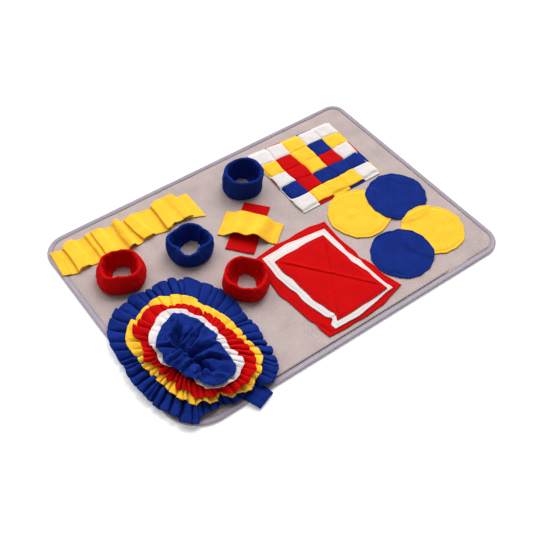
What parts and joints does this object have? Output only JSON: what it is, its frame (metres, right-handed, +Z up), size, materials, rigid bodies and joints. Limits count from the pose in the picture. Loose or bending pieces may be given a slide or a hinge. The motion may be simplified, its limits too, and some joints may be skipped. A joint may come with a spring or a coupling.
{
  "type": "snuffle mat",
  "caption": "Flat felt pet foraging mat with a taped edge and fleece ruffles, stand-up rings, pleats, woven strips, overlapping discs and a slit pocket for hiding treats.",
  "frame": {"origin": "centre of the mat's flat underside", "axes": "+X along the mat's long side, +Y along its short side away from the rosette's loose end, +Z up out of the fleece side"},
  "size_m": [0.7127, 0.518, 0.0505],
  "materials": {
    "felt": "matte warm grey felt",
    "tape": "folded grey edging tape",
    "yellow_fleece": "yellow fleece with a short nap",
    "red_fleece": "red fleece with a short nap",
    "blue_fleece": "deep blue fleece with a short nap",
    "white_fleece": "white fleece with a short nap"
  },
  "bodies": {
    "root": {"mat_pad": "felt", "edge_binding": "tape", "pleated_strip_yellow": "yellow_fleece", "tube_red_left": "red_fleece", "tube_blue_left": "blue_fleece", "tube_red_right": "red_fleece", "tube_blue_right": "blue_fleece", "cross_strip_red": "red_fleece", "cross_strip_yellow": "yellow_fleece", "weave_down_1_white": "white_fleece", "weave_down_2_red": "red_fleece", "weave_down_3_yellow": "yellow_fleece", "weave_down_4_blue": "blue_fleece", "weave_down_5_white": "white_fleece", "weave_across_1_white": "white_fleece", "weave_across_2_yellow": "yellow_fleece", "weave_across_3_red": "red_fleece", "weave_across_4_blue": "blue_fleece", "weave_across_5_yellow": "yellow_fleece", "disc_yellow_left": "yellow_fleece", "disc_blue_right": "blue_fleece", "disc_yellow_right": "yellow_fleece", "disc_blue_left": "blue_fleece", "envelope_back_red": "red_fleece", "envelope_frame_white": "white_fleece", "envelope_front_red": "red_fleece", "ruffle_blue_outer": "blue_fleece", "ruffle_yellow": "yellow_fleece", "ruffle_red": "red_fleece", "ruffle_white": "white_fleece", "ruffle_blue_middle": "blue_fleece", "ruffle_tail_blue": "blue_fleece"}
  },
  "joints": []
}
